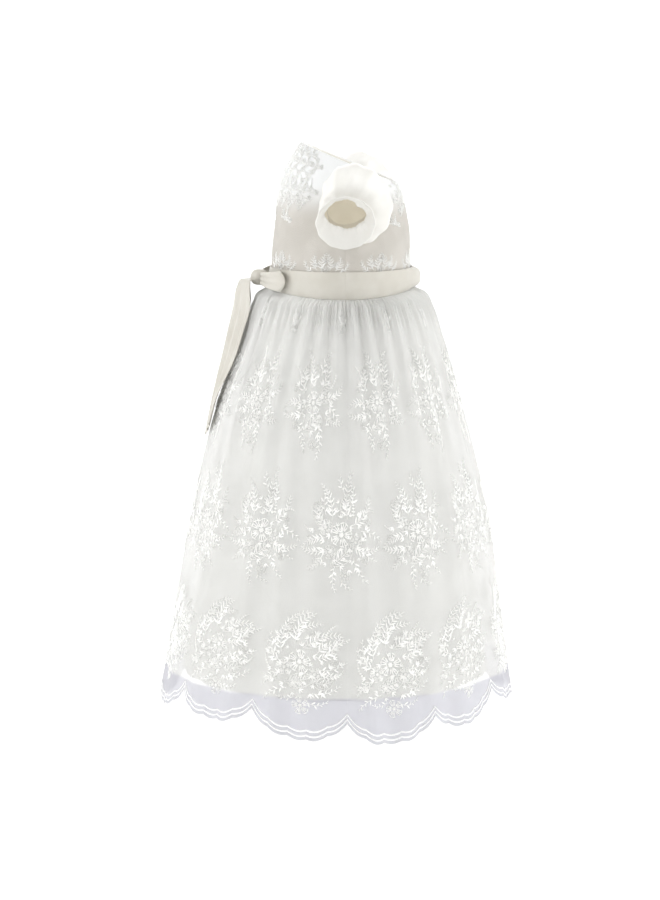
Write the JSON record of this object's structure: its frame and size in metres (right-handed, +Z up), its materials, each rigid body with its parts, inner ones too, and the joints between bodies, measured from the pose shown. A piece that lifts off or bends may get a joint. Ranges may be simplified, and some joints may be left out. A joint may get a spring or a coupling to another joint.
{
  "type": "christening gown",
  "caption": "Baby's christening gown, filled out as worn: lace bodice, satin puff sleeves and sash bow, long gathered net skirt with a scalloped hem over a plain lining.",
  "frame": {"origin": "midway between the shoulders, where the wearer carries the gown", "axes": "+Z up from hem to neck; front faces -Y; the wearer's right side is at -X"},
  "size_m": [0.4131, 0.4068, 0.6426],
  "materials": {
    "bodice_lace": "matt lace over satin",
    "sleeve_satin": "satin",
    "sash_satin": "satin",
    "skirt_lining": "soft satin",
    "skirt_net": "matt embroidered net"
  },
  "bodies": {
    "root": {"bodice_front": "bodice_lace", "bodice_back_right": "bodice_lace", "bodice_back_left": "bodice_lace", "sleeve_right": "sleeve_satin", "sleeve_left": "sleeve_satin", "waistband_front": "sash_satin", "waistband_back_right": "sash_satin", "waistband_back_left": "sash_satin", "bow_knot": "sash_satin", "bow_loop_right": "sash_satin", "bow_loop_left": "sash_satin", "bow_tail_right": "sash_satin", "bow_tail_left": "sash_satin", "skirt_lining_front": "skirt_lining", "skirt_lining_back": "skirt_lining", "skirt_net_front": "skirt_net", "skirt_net_back": "skirt_net"}
  },
  "joints": []
}
